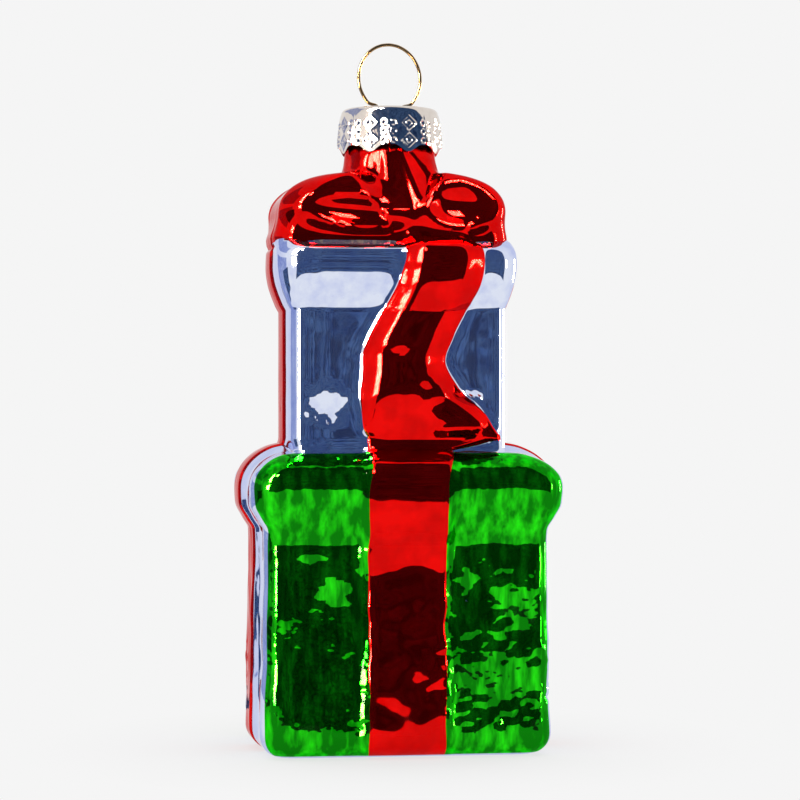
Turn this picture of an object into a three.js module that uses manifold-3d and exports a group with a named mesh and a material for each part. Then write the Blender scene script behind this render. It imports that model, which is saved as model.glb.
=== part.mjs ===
// A blown-glass tree ornament: two stacked gift boxes with ribbons, a bow on top, and a stamped metal cap
// that carries a spring-wire hanging loop.
// Millimetres, +Z up, the front faces -Y. The origin is the middle of the flat base.

import * as THREE from "three";
import { mergeVertices } from "three/addons/utils/BufferGeometryUtils.js";
import Module from "manifold-3d";

// Lower gift box: the body, and the lid that stands out over it
const LOWER_WIDTH = 44.8;
const LOWER_DEPTH = 33.6;
const LOWER_CORNER = 4;
const LOWER_BODY_HEIGHT = 33;
const LOWER_LID_HEIGHT = 14.2;
const LOWER_OVERHANG = 2.2;
const FOOT_FLARE = 0.5;
const BASE_ROUNDING = 3.4;

// Upper gift box, which stands a little to the left on the lower one
const UPPER_WIDTH = 32.2;
const UPPER_DEPTH = 24.4;
const UPPER_CORNER = 3.2;
const UPPER_BODY_HEIGHT = 22.4;
const UPPER_LID_HEIGHT = 11;
const UPPER_OVERHANG = 1.5;
const UPPER_SHIFT = -0.65;
const UPPER_SEAT_FILLET = 1;

// Bow
const BOW_WIDTH = 35.8;
const BOW_DEPTH = 23.6;
const BOW_CORNER = 7;
const BOW_HEIGHT = 10.8;
const BOW_SHIFT = -1.5;
const BOW_SEAT_FILLET = 0.2;
const BOW_LOOP_BULGE = 1.8;
const BOW_LOOP_PLACE = 0.58;
const BOW_LOOP_REACH = 0.22;
const BOW_KNOT_BULGE = 1.3;
const BOW_KNOT_REACH = 0.2;

// Neck
const NECK_RADIUS = 6.95;
const NECK_HEIGHT = 10.1;
const NECK_SHIFT = -0.8;
const NECK_SEAT_FILLET = 1;

// Ribbons, moulded as bands that stand proud of the box faces
const FRONT_RIBBON_WIDTH = 12;
const FRONT_RIBBON_OFFSET = -0.4;
const SIDE_RIBBON_WIDTH = 9;
const RIBBON_RELIEF = 0.8;
const RIBBON_STEP = 0.7;
const UPPER_SIDE_SWELL = 0.8;
const UPPER_LID_SWELL = 1.4;
const SWELL_AT_RIBBON_EDGE = 0.5;
const SWELL_AT_CORNER = 0.15;

// Glass, the silvering inside it and the lacquers outside it
const GLASS_WALL = 0.9;
const SILVERING = 0.25;
const LACQUER = 0.25;
const LACQUER_STOP = 4;

// Metal cap
const CAP_CLEARANCE = 0.3;
const CAP_SHEET = 0.3;
const CAP_SKIRT = 6.2;
const CAP_POINT = 1.1;
const CAP_FLARE = 0.15;
const CAP_SHOULDER = 0.9;
const CAP_PETALS = 8;
const CAP_PETAL_BULGE = 0.12;
const CAP_TURN = THREE.MathUtils.degToRad(-6.3);
const LOZENGE_WIDTH = 2.6;
const LOZENGE_HEIGHT = 2.2;
const LOZENGE_BAND = 0.45;
const LOZENGE_GAP = 0.3;
const LOZENGE_RELIEF = 0.2;

// Hanging loop, bent from one wire whose two legs spread inside the neck
const WIRE_DIAMETER = 0.6;
const LOOP_RADIUS = 5.45;
const LOOP_STANDOFF = 0.95;
const LOOP_TURN = THREE.MathUtils.degToRad(17);
const LOOP_OPENING = THREE.MathUtils.degToRad(42);
const HOLE_SPACING = 4.5;
const HOLE_RADIUS = 0.75;
const LEG_LENGTH = 16;
const LEG_SPREAD = 8.8;
const LEG_BEND = 0.4;

// How finely the round forms are divided
const SIDE_CELLS = 2;
const CORNER_CELLS = 3;
const RIBBON_CELLS = 4;
const PETAL_CELLS = 6;
const WIRE_SIDES = 8;
const WIRE_STEPS = 64;
const LOOP_POINTS = 12;
const HOLE_SIDES = 16;
const PANEL_MARGIN = 0.6;
const LEVEL_TOLERANCE = 1e-6;
const MERGE_DISTANCE = 1e-4;

const LOWER_TOP = LOWER_BODY_HEIGHT + LOWER_LID_HEIGHT;
const UPPER_BODY_TOP = LOWER_TOP + UPPER_BODY_HEIGHT;
const UPPER_TOP = UPPER_BODY_TOP + UPPER_LID_HEIGHT;
const BOW_TOP = UPPER_TOP + BOW_HEIGHT;
const NECK_TOP = BOW_TOP + NECK_HEIGHT;
const CAP_UNDERSIDE = NECK_TOP + CAP_CLEARANCE;
const CAP_TOP = CAP_UNDERSIDE + CAP_SHEET;

// Lid profile: share of its height and share of its overhang, up to the shoulder where its crown begins
const LID_RIM = [[0, 0], [0.17, 0.43], [0.36, 0.86], [0.58, 1]];
const LID_SHOULDER = 0.58;
const BOW_SHOULDER = 0.4;

// Body profile: share of its height and share of the foot flare
const BODY_FLARE = [[0.24, 1], [0.6, 0.2], [0.91, 0]];

// Heights of the upper body's rows and of the bow's side, and where the neck leaves the bow's fillet
const UPPER_BODY_ROWS = [0.1, 0.26, 0.42, 0.58, 0.74, 0.9];
const BOW_SIDE_ROW = 0.2;
const NECK_FOOT = 0.18;

// Left and right edges of the front tail, from the middle of the upper box: share of the box's height, then
// shares of its half width
const TAIL_EDGES = [
  [0, -0.34, 0.48],
  [0.07, -0.32, 0.97],
  [0.1, -0.35, 0.93],
  [0.2, -0.39, 0.79],
  [0.31, -0.4, 0.55],
  [0.43, -0.39, 0.44],
  [0.55, -0.32, 0.51],
  [0.67, -0.19, 0.64],
  [0.79, -0.06, 0.76],
  [0.9, 0.02, 0.8],
  [1, 0.04, 0.77],
];

const wasm = await Module();
wasm.setup();

const { lerp, degToRad } = THREE.MathUtils;
const CROWN_ANGLES = [30, 60, 90].map(degToRad);
const BASE_ANGLES = [0, 30, 60, 90].map(degToRad);

// The blown body is a stack of outlines. Each is a rectangle with round corners, shifted along X, and the
// swell is how far its sides bulge under the side ribbons.
const LOWER_BOX = {
  halfWidth: LOWER_WIDTH / 2,
  halfDepth: LOWER_DEPTH / 2,
  corner: LOWER_CORNER,
  shift: 0,
  swell: 0,
};
const UPPER_BOX = {
  halfWidth: UPPER_WIDTH / 2,
  halfDepth: UPPER_DEPTH / 2,
  corner: UPPER_CORNER,
  shift: UPPER_SHIFT,
  swell: UPPER_SIDE_SWELL,
};
const BOW = {
  halfWidth: BOW_WIDTH / 2,
  halfDepth: BOW_DEPTH / 2,
  corner: BOW_CORNER,
  shift: BOW_SHIFT,
  swell: 0,
};
const NECK = {
  halfWidth: NECK_RADIUS,
  halfDepth: NECK_RADIUS,
  corner: NECK_RADIUS,
  shift: NECK_SHIFT,
  swell: 0,
};

function grown(outline, amount) {
  return {
    ...outline,
    halfWidth: outline.halfWidth + amount,
    halfDepth: outline.halfDepth + amount,
    corner: outline.corner + amount / 2,
  };
}

function blended(from, to, share) {
  const outline = {};
  for (const key of Object.keys(from)) outline[key] = lerp(from[key], to[key], share);
  return outline;
}

// The round top of a lid or of the bow, which closes in to what stands on it
function crownRows(wide, next, shoulder, top) {
  return CROWN_ANGLES.map((angle) => ({
    z: lerp(shoulder, top, Math.sin(angle)),
    ...blended(next, wide, Math.cos(angle)),
  }));
}

function lidRows(box, lid, next, bottom, height) {
  const rim = LID_RIM.map(([rise, reach]) => ({ z: bottom + rise * height, ...blended(box, lid, reach) }));
  return [...rim, ...crownRows(lid, next, bottom + LID_SHOULDER * height, bottom + height)];
}

function lowerBoxRows() {
  const foot = grown(LOWER_BOX, FOOT_FLARE);
  const rounding = BASE_ANGLES.map((angle) => ({
    z: BASE_ROUNDING * (1 - Math.cos(angle)),
    ...grown(foot, BASE_ROUNDING * (Math.sin(angle) - 1)),
  }));
  const body = BODY_FLARE.map(([rise, flare]) => ({
    z: rise * LOWER_BODY_HEIGHT,
    ...grown(LOWER_BOX, flare * FOOT_FLARE),
    plain: true,
  }));
  const lid = grown(LOWER_BOX, LOWER_OVERHANG);
  const seat = grown(UPPER_BOX, UPPER_SEAT_FILLET);
  return [...rounding, ...body, ...lidRows(LOWER_BOX, lid, seat, LOWER_BODY_HEIGHT, LOWER_LID_HEIGHT)];
}

const UPPER_LID = { ...grown(UPPER_BOX, UPPER_OVERHANG), swell: UPPER_LID_SWELL };

function upperBoxRows() {
  const body = UPPER_BODY_ROWS.map((rise, index) => ({
    z: LOWER_TOP + rise * UPPER_BODY_HEIGHT,
    ...UPPER_BOX,
    plain: index % 2 === 1,
  }));
  const seat = grown(BOW, BOW_SEAT_FILLET);
  return [...body, ...lidRows(UPPER_BOX, UPPER_LID, seat, UPPER_BODY_TOP, UPPER_LID_HEIGHT)];
}

function bowRows() {
  const sides = [BOW_SIDE_ROW, BOW_SHOULDER].map((rise) => ({ z: UPPER_TOP + rise * BOW_HEIGHT, ...BOW }));
  const shoulder = UPPER_TOP + BOW_SHOULDER * BOW_HEIGHT;
  return [...sides, ...crownRows(BOW, grown(NECK, NECK_SEAT_FILLET), shoulder, BOW_TOP)];
}

function neckRows() {
  const heights = [lerp(BOW_TOP, NECK_TOP, NECK_FOOT), NECK_TOP - LACQUER_STOP, NECK_TOP];
  return heights.map((z) => ({ z, ...NECK }));
}

const rows = [...lowerBoxRows(), ...upperBoxRows(), ...bowRows(), ...neckRows()];
const UPPER_TOP_ROW = rows.findIndex((row) => row.z >= UPPER_TOP - LEVEL_TOLERANCE);
const LOWER_TOP_ROW = rows.findIndex((row) => row.z >= LOWER_TOP - LEVEL_TOLERANCE);
const LACQUER_ROW = rows.length - 2;
const FIRST_LACQUER_ROW = 1;

// Every outline is divided into the same columns, laid along the ribbons' edges. They run from the middle
// of the left side over the front to the middle of the right side. The back is the front turned half round.
const CORNER_END = SIDE_CELLS + 1;
const GREEN_EDGE = CORNER_END + 1;
const LEFT_EDGE = CORNER_END + CORNER_CELLS + 1;
const RIGHT_EDGE = LEFT_EDGE + RIBBON_CELLS + 2;
const HALF_TURN = LEFT_EDGE + RIGHT_EDGE;
const FULL_TURN = 2 * HALF_TURN;

// Distance along the outline from the middle of the front to the middle of a side
function sideReach(row) {
  return row.halfWidth + row.halfDepth + (Math.PI / 2 - 2) * row.corner;
}

function tailEdges(share) {
  const above = Math.max(1, TAIL_EDGES.findIndex(([height]) => height >= share));
  const [lowHeight, lowLeft, lowRight] = TAIL_EDGES[above - 1];
  const [highHeight, highLeft, highRight] = TAIL_EDGES[above];
  const along = (share - lowHeight) / (highHeight - lowHeight);
  return {
    left: UPPER_BOX.halfWidth * lerp(lowLeft, highLeft, along),
    right: UPPER_BOX.halfWidth * lerp(lowRight, highRight, along),
  };
}

function frontRibbonEdges(z) {
  const straight = {
    left: FRONT_RIBBON_OFFSET - FRONT_RIBBON_WIDTH / 2,
    right: FRONT_RIBBON_OFFSET + FRONT_RIBBON_WIDTH / 2,
  };
  const shoulder = LOWER_BODY_HEIGHT + LID_SHOULDER * LOWER_LID_HEIGHT;
  if (z <= shoulder) return straight;
  if (z < LOWER_TOP) return blended(straight, tailEdges(0), (z - shoulder) / (LOWER_TOP - shoulder));
  return tailEdges((z - LOWER_TOP) / (UPPER_TOP - LOWER_TOP));
}

// Columns from beside a ribbon's edge, round the corner, to the middle of the side
function cornerColumns(row, ribbonEdge) {
  const middle = sideReach(row);
  const sideEdge = middle - SIDE_RIBBON_WIDTH / 2;
  const straight = row.halfWidth - row.corner;
  const end = Math.min(straight + (Math.PI / 2) * row.corner, sideEdge - PANEL_MARGIN);
  const start = Math.min(Math.max(straight, ribbonEdge + PANEL_MARGIN), end - PANEL_MARGIN);
  const corner = [];
  for (let i = 0; i <= CORNER_CELLS; i += 1) corner.push(lerp(start, end, i / CORNER_CELLS));
  return [...corner, sideEdge, sideEdge + RIBBON_STEP, middle];
}

function frontColumns(row) {
  const { left, right } = frontRibbonEdges(row.z);
  const ribbon = [];
  for (let i = 0; i <= RIBBON_CELLS; i += 1) {
    ribbon.push(lerp(left + RIBBON_STEP, right - RIBBON_STEP, i / RIBBON_CELLS));
  }
  const leftSide = cornerColumns(row, -left).map((distance) => -distance).reverse();
  return [...leftSide, left, ...ribbon, right, ...cornerColumns(row, right)];
}

// On the bow the columns spread out evenly from where the ribbons run in under it
const lidShoulder = UPPER_BODY_TOP + LID_SHOULDER * UPPER_LID_HEIGHT;
const lidRow = rows.findLast((row) => row.z <= lidShoulder + LEVEL_TOLERANCE);
const ribbonShares = frontColumns(lidRow).map((distance) => distance / sideReach(lidRow));

function bowShare(row) {
  return THREE.MathUtils.clamp((row.z - UPPER_TOP) / BOW_HEIGHT, 0, 1);
}

function columnsOf(row) {
  if (row.z < UPPER_TOP - LEVEL_TOLERANCE) return frontColumns(row);
  return ribbonShares.map((share, index) => {
    const even = (2 * index) / HALF_TURN - 1;
    return sideReach(row) * lerp(share, even, bowShare(row));
  });
}

function outlinePoint(row, distance) {
  const straight = row.halfWidth - row.corner;
  const bend = THREE.MathUtils.clamp((Math.abs(distance) - straight) / row.corner, 0, Math.PI / 2);
  const beyond = Math.max(0, Math.abs(distance) - straight - (Math.PI / 2) * row.corner);
  const across = Math.min(Math.abs(distance), straight) + row.corner * Math.sin(bend);
  const back = beyond - (row.halfDepth - row.corner) - row.corner * Math.cos(bend);
  return new THREE.Vector3(Math.sign(distance) * across, back, row.z);
}

function facePoint(row, distance, atBack) {
  const point = outlinePoint(row, distance);
  if (atBack) point.set(-point.x, -point.y, point.z);
  return point.setX(point.x + row.shift);
}

const distances = rows.map(columnsOf);
const base = rows.map((row, index) => {
  const half = distances[index].slice(0, HALF_TURN);
  return [false, true].flatMap((atBack) => half.map((distance) => facePoint(row, distance, atBack)));
});

// Square to the outline and to the slope straight up the wall, whichever way the columns lean
function normalAt(index, column) {
  if (index === 0) return new THREE.Vector3(0, 0, -1);
  const share = distances[index][column % HALF_TURN] / sideReach(rows[index]);
  const [below, above] = [index - 1, Math.min(index + 1, rows.length - 1)].map((other) => {
    return facePoint(rows[other], share * sideReach(rows[other]), column >= HALF_TURN);
  });
  const ring = base[index];
  const along = ring[(column + 1) % FULL_TURN].clone().sub(ring[(column + FULL_TURN - 1) % FULL_TURN]);
  return along.cross(above.sub(below)).normalize();
}

const normals = base.map((ring, row) => ring.map((point, column) => normalAt(row, column)));

// How far the ribbons and the bow stand out of the plain outline at a column
function ribbonRelief(row, column) {
  const half = column % HALF_TURN;
  const fromSide = Math.min(half, HALF_TURN - half);
  const sideTotal = RIBBON_RELIEF + row.swell;
  if (fromSide < SIDE_CELLS) return sideTotal;
  if (fromSide === SIDE_CELLS) return SWELL_AT_RIBBON_EDGE * row.swell;
  if (fromSide === CORNER_END) return SWELL_AT_CORNER * row.swell;
  return half > LEFT_EDGE && half < RIGHT_EDGE ? RIBBON_RELIEF : 0;
}

function bowRelief(row, point, normal) {
  const share = bowShare(row);
  const across = Math.abs(point.x - row.shift) / row.halfWidth;
  const loops = BOW_LOOP_BULGE * Math.exp(-(((across - BOW_LOOP_PLACE) / BOW_LOOP_REACH) ** 2));
  const knot = BOW_KNOT_BULGE * Math.exp(-((across / BOW_KNOT_REACH) ** 2));
  return Math.abs(normal.y) * Math.sin(Math.PI * share) * (loops + knot);
}

function reliefAt(rowIndex, column) {
  const row = rows[rowIndex];
  const low = Math.min(1, row.z / BASE_ROUNDING);
  const high = 1 - Math.min(1, bowShare(row) / BOW_SHOULDER);
  const ribbon = low * high * ribbonRelief(row, column);
  return ribbon + bowRelief(row, base[rowIndex][column], normals[rowIndex][column]);
}

// A copy of a grid of points, each moved out along its normal
function movedOut(grid, distance) {
  return grid.map((ring, row) => {
    return ring.map((point, column) => {
      return point.clone().addScaledVector(normals[row][column], distance(row, column));
    });
  });
}

const outer = movedOut(base, reliefAt);
const lacquered = movedOut(outer, () => LACQUER);

// The inside follows the plain outline on every second column, and skips the rows on straight stretches
function insideGrid(depth) {
  const kept = movedOut(base, () => -depth).filter((ring, row) => !rows[row].plain);
  return kept.map((ring) => ring.filter((point, column) => column % 2 === 0));
}

const inside = insideGrid(GLASS_WALL);
const silverInside = insideGrid(GLASS_WALL + SILVERING);

// A surface is a list of triangles, each three points, anticlockwise seen from outside the solid
function addCell(triangles, lower, upper, column, flipped) {
  const next = (column + 1) % lower.length;
  const [a, b, c, d] = [lower[column], lower[next], upper[next], upper[column]];
  if (flipped) triangles.push([a, c, b], [a, d, c]);
  else triangles.push([a, b, c], [a, c, d]);
}

function addGrid(triangles, grid, flipped) {
  for (let row = 0; row < grid.length - 1; row += 1) {
    for (let column = 0; column < grid[row].length; column += 1) {
      addCell(triangles, grid[row], grid[row + 1], column, flipped);
    }
  }
}

// Closes a ring with a fan about a middle point
function addFan(triangles, ring, middle, flipped) {
  ring.forEach((point, index) => {
    const next = ring[(index + 1) % ring.length];
    triangles.push(flipped ? [middle, next, point] : [middle, point, next]);
  });
}

function middleOf(ring) {
  const middle = new THREE.Vector3();
  for (const point of ring) middle.addScaledVector(point, 1 / ring.length);
  return middle;
}

function meshOf(name, triangles, material) {
  const geometry = new THREE.BufferGeometry();
  const positions = triangles.flat().flatMap((point) => point.toArray());
  geometry.setAttribute("position", new THREE.Float32BufferAttribute(positions, 3));
  geometry.computeVertexNormals();
  const mesh = new THREE.Mesh(geometry, material);
  mesh.name = name;
  return mesh;
}

function finish(color, roughness, metalness) {
  return new THREE.MeshStandardMaterial({ color, roughness, metalness });
}

const clearGlass = finish(0xdfe6f0, 0.05, 0.1);
const mirrorSilver = finish(0xc9d3e2, 0.08, 1);
const redLacquer = finish(0xc8060c, 0.1, 0.9);
const greenLacquer = finish(0x0a9a12, 0.1, 0.9);
const stampedSteel = finish(0xd7d2c8, 0.25, 1);
const brassWire = finish(0xb08a4a, 0.3, 1);

function glassBody() {
  const triangles = [];
  addGrid(triangles, outer, false);
  addFan(triangles, outer[0], middleOf(outer[0]), true);
  addGrid(triangles, inside, true);
  addFan(triangles, inside[0], middleOf(inside[0]), false);
  const rim = outer[outer.length - 1];
  const innerRim = inside[inside.length - 1];
  innerRim.forEach((point, index) => {
    const next = innerRim[(index + 1) % innerRim.length];
    const [a, b, c] = [0, 1, 2].map((step) => rim[(2 * index + step) % rim.length]);
    triangles.push([a, b, point], [b, next, point], [b, c, next]);
  });
  return meshOf("glass_body", triangles, clearGlass);
}

function mirrorLining() {
  const triangles = [];
  addGrid(triangles, inside, false);
  addFan(triangles, inside[0], middleOf(inside[0]), true);
  addGrid(triangles, silverInside, true);
  addFan(triangles, silverInside[0], middleOf(silverInside[0]), false);
  addGrid(triangles, [inside[inside.length - 1], silverInside[silverInside.length - 1]], false);
  return meshOf("mirror_lining", triangles, mirrorSilver);
}

// A lacquer coat over the cells between two rows and two columns; equal columns mean all the way round
function lacquerCoat(name, firstRow, lastRow, firstColumn, lastColumn, material) {
  const triangles = [];
  const round = firstColumn === lastColumn;
  const cells = round ? FULL_TURN : lastColumn - firstColumn;
  for (let step = 0; step < cells; step += 1) {
    const column = (firstColumn + step) % FULL_TURN;
    for (let row = firstRow; row < lastRow; row += 1) {
      addCell(triangles, lacquered[row], lacquered[row + 1], column, false);
      addCell(triangles, outer[row], outer[row + 1], column, true);
    }
    addCell(triangles, outer[firstRow], lacquered[firstRow], column, false);
    addCell(triangles, outer[lastRow], lacquered[lastRow], column, true);
  }
  if (!round) {
    const first = firstColumn % FULL_TURN;
    const last = lastColumn % FULL_TURN;
    for (let row = firstRow; row < lastRow; row += 1) {
      addSideWall(triangles, row, first, false);
      addSideWall(triangles, row, last, true);
    }
  }
  return meshOf(name, triangles, material);
}

function addSideWall(triangles, row, column, flipped) {
  const [a, b] = [outer[row][column], lacquered[row][column]];
  const [c, d] = [lacquered[row + 1][column], outer[row + 1][column]];
  if (flipped) triangles.push([a, c, b], [a, d, c]);
  else triangles.push([a, b, c], [a, c, d]);
}

function lacquerCoats() {
  const far = HALF_TURN;
  const ribbonRows = [FIRST_LACQUER_ROW, UPPER_TOP_ROW];
  const boxRows = [FIRST_LACQUER_ROW, LOWER_TOP_ROW];
  const red = (name, from, to) => lacquerCoat(name, ...ribbonRows, from, to, redLacquer);
  const green = (name, from, to) => lacquerCoat(name, ...boxRows, from, to, greenLacquer);
  return [
    lacquerCoat("bow_lacquer", UPPER_TOP_ROW, LACQUER_ROW, 0, 0, redLacquer),
    red("front_ribbon_lacquer", LEFT_EDGE, RIGHT_EDGE),
    red("back_ribbon_lacquer", far + LEFT_EDGE, far + RIGHT_EDGE),
    red("right_ribbon_lacquer", far - SIDE_CELLS, far + SIDE_CELLS),
    red("left_ribbon_lacquer", FULL_TURN - SIDE_CELLS, FULL_TURN + SIDE_CELLS),
    green("green_lacquer_front_left", GREEN_EDGE, LEFT_EDGE),
    green("green_lacquer_front_right", RIGHT_EDGE, far - GREEN_EDGE),
    green("green_lacquer_back_right", far + GREEN_EDGE, far + LEFT_EDGE),
    green("green_lacquer_back_left", far + RIGHT_EDGE, FULL_TURN - GREEN_EDGE),
  ];
}

// Solids for cutting and joining
function solidOf(geometry) {
  const shell = geometry.clone();
  shell.deleteAttribute("normal");
  shell.deleteAttribute("uv");
  const merged = mergeVertices(shell, MERGE_DISTANCE);
  const vertProperties = new Float32Array(merged.attributes.position.array);
  const triVerts = new Uint32Array(merged.index.array);
  return new wasm.Manifold(new wasm.Mesh({ numProp: 3, vertProperties, triVerts }));
}

function geometryOf(solid) {
  const { vertProperties, triVerts } = solid.getMesh();
  const geometry = new THREE.BufferGeometry();
  geometry.setAttribute("position", new THREE.BufferAttribute(vertProperties, 3));
  geometry.setIndex(new THREE.BufferAttribute(triVerts, 1));
  return geometry;
}

// Outer rings of the cap from its top to the skirt's edge, then its inner rings back up. The skirt is
// pressed into petals that bulge a little and come to a shallow point.
function capRings() {
  const innerRadius = NECK_RADIUS + LACQUER + CAP_CLEARANCE;
  const cells = CAP_PETALS * PETAL_CELLS;
  const ring = (sheet, tuck, flare, height) => {
    const points = [];
    for (let cell = 0; cell < cells; cell += 1) {
      const petal = (cell % PETAL_CELLS) / PETAL_CELLS;
      const bulge = CAP_PETAL_BULGE * Math.sqrt(Math.sin(Math.PI * petal));
      const radius = innerRadius + sheet + bulge - tuck + flare;
      const angle = CAP_TURN - Math.PI / 2 + (2 * Math.PI * cell) / cells;
      points.push(new THREE.Vector3(radius * Math.cos(angle), radius * Math.sin(angle), height(petal)));
    }
    return points;
  };
  const shoulder = CAP_TOP - CAP_SHOULDER;
  const edge = (petal) => CAP_TOP - CAP_SKIRT - CAP_POINT * Math.sin(Math.PI * petal);
  const innerShoulder = CAP_SHOULDER - CAP_SHEET;
  const arc = (angle) => [1 - Math.cos(angle), Math.sin(angle)];
  const outerRound = [90, 45, 0].map(degToRad).map((angle) => {
    const [tuck, rise] = arc(angle);
    return ring(CAP_SHEET, CAP_SHOULDER * tuck, 0, () => shoulder + CAP_SHOULDER * rise);
  });
  const innerRound = [0, 45, 90].map(degToRad).map((angle) => {
    const [tuck, rise] = arc(angle);
    return ring(0, innerShoulder * tuck, 0, () => shoulder + innerShoulder * rise);
  });
  return [
    ...outerRound,
    ring(CAP_SHEET, 0, CAP_FLARE, edge),
    ring(0, 0, CAP_FLARE, edge),
    ...innerRound,
  ];
}

function capShell() {
  const rings = capRings();
  const triangles = [];
  addGrid(triangles, rings, true);
  addFan(triangles, rings[0], middleOf(rings[0]), false);
  addFan(triangles, rings[rings.length - 1], middleOf(rings[rings.length - 1]), true);
  return meshOf("shell", triangles, stampedSteel).geometry;
}

function holeCutter(side) {
  const length = CAP_SHEET + 2 * HOLE_RADIUS;
  const cutter = new THREE.CylinderGeometry(HOLE_RADIUS, HOLE_RADIUS, length, HOLE_SIDES);
  cutter.rotateX(Math.PI / 2);
  cutter.translate((side * HOLE_SPACING) / 2, 0, CAP_TOP - CAP_SHEET / 2);
  cutter.rotateZ(LOOP_TURN);
  return cutter;
}

function lozengeOutline(width, height) {
  return [[0, -height / 2], [width / 2, 0], [0, height / 2], [-width / 2, 0]].map(([x, y]) => {
    return new THREE.Vector2(x, y);
  });
}

// An embossed lozenge frame, pressed out of the middle of a petal
function lozenge(petal, level) {
  const shape = new THREE.Shape(lozengeOutline(LOZENGE_WIDTH, LOZENGE_HEIGHT));
  const shrink = 1 - (2 * LOZENGE_BAND) / LOZENGE_HEIGHT;
  const hole = lozengeOutline(LOZENGE_WIDTH * shrink, LOZENGE_HEIGHT * shrink).reverse();
  shape.holes.push(new THREE.Path(hole));
  const depth = LOZENGE_RELIEF + CAP_SHEET / 2;
  const frame = new THREE.ExtrudeGeometry(shape, { depth, bevelEnabled: false });
  const surface = NECK_RADIUS + LACQUER + CAP_CLEARANCE + CAP_SHEET + CAP_PETAL_BULGE;
  const skirtMiddle = CAP_TOP - (CAP_SHOULDER + CAP_SKIRT + CAP_POINT) / 2;
  frame.rotateX(Math.PI / 2);
  frame.translate(0, -surface + CAP_SHEET / 2, skirtMiddle + level * (LOZENGE_HEIGHT + LOZENGE_GAP));
  frame.rotateZ(CAP_TURN + (2 * Math.PI * (petal + 0.5)) / CAP_PETALS);
  return frame;
}

function crownCap() {
  let cap = solidOf(capShell());
  for (const side of [-1, 1]) cap = cap.subtract(solidOf(holeCutter(side)));
  for (let petal = 0; petal < CAP_PETALS; petal += 1) {
    for (const level of [-0.5, 0.5]) cap = cap.add(solidOf(lozenge(petal, level)));
  }
  const mesh = new THREE.Mesh(geometryOf(cap), stampedSteel);
  mesh.name = "crown_cap";
  mesh.position.x = NECK_SHIFT;
  return mesh;
}

// The wire rises from one spread leg through its hole, round the loop, and down again
function wirePath() {
  const centre = CAP_TOP + LOOP_STANDOFF + LOOP_RADIUS * Math.cos(LOOP_OPENING);
  const hole = HOLE_SPACING / 2;
  const foot = LEG_SPREAD / 2;
  const leg = [
    [foot, CAP_TOP - LEG_LENGTH],
    [lerp(hole, foot, LEG_BEND), CAP_TOP - LEG_LENGTH / 2],
    [hole, CAP_UNDERSIDE - 2 * WIRE_DIAMETER],
    [hole, CAP_TOP + LOOP_STANDOFF / 2],
  ];
  const loop = [];
  for (let i = 0; i <= LOOP_POINTS; i += 1) {
    const angle = lerp(LOOP_OPENING, 2 * Math.PI - LOOP_OPENING, i / LOOP_POINTS);
    loop.push([-LOOP_RADIUS * Math.sin(angle), centre - LOOP_RADIUS * Math.cos(angle)]);
  }
  const leftLeg = leg.map(([across, height]) => [-across, height]);
  const points = [...leftLeg, ...loop, ...leg.reverse()];
  const bends = points.map(([across, height]) => new THREE.Vector3(across, 0, height));
  return new THREE.CatmullRomCurve3(bends);
}

function hangerWire() {
  const section = [];
  for (let i = 0; i < WIRE_SIDES; i += 1) {
    const angle = (2 * Math.PI * i) / WIRE_SIDES;
    section.push(new THREE.Vector2(Math.cos(angle), Math.sin(angle)).multiplyScalar(WIRE_DIAMETER / 2));
  }
  const options = { steps: WIRE_STEPS, bevelEnabled: false, extrudePath: wirePath() };
  const mesh = new THREE.Mesh(new THREE.ExtrudeGeometry(new THREE.Shape(section), options), brassWire);
  mesh.name = "hanger_wire";
  mesh.position.x = NECK_SHIFT;
  mesh.rotation.z = LOOP_TURN;
  return mesh;
}

const ornament = new THREE.Group();
ornament.add(glassBody(), mirrorLining(), ...lacquerCoats(), crownCap(), hangerWire());

export default ornament;
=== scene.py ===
import math

import bpy
import numpy as np
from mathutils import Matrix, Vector, noise


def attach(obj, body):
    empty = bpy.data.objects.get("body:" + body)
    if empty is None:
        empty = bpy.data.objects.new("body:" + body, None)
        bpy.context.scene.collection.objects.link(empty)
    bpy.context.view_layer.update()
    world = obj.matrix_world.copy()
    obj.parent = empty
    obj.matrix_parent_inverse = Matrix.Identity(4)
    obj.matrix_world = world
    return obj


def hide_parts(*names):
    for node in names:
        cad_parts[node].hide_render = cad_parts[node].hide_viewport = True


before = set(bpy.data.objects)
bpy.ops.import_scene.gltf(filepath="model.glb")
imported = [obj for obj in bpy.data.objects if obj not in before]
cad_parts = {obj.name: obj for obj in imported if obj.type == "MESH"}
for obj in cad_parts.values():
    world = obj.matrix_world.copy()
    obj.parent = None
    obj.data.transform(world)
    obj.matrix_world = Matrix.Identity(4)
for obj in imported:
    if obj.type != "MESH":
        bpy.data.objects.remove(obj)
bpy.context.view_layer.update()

# A blown-glass tree ornament: two stacked gift boxes with ribbons, a bow on top, a stamped metal cap and a
# wire loop. Sizes are in millimetres as in the part's source, and meshes are scaled to metres when made.
MM = 0.001

# Lower gift box and its lid
LOWER_WIDTH = 44.8
LOWER_DEPTH = 33.6
LOWER_CORNER = 4
LOWER_BODY_HEIGHT = 33
LOWER_LID_HEIGHT = 14.2
LOWER_OVERHANG = 2.2
FOOT_FLARE = 0.5
BASE_ROUNDING = 3.4
BASE_HOLLOW = 0.5

# Upper gift box and its lid, a little to the left on the lower one
UPPER_WIDTH = 32.2
UPPER_DEPTH = 24.4
UPPER_CORNER = 1.7
UPPER_LID_CORNER = 3.4
UPPER_BODY_HEIGHT = 22.4
UPPER_LID_HEIGHT = 11
UPPER_OVERHANG = 1.5
UPPER_SHIFT = -0.65
UPPER_SEAT_FILLET = 1

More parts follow.
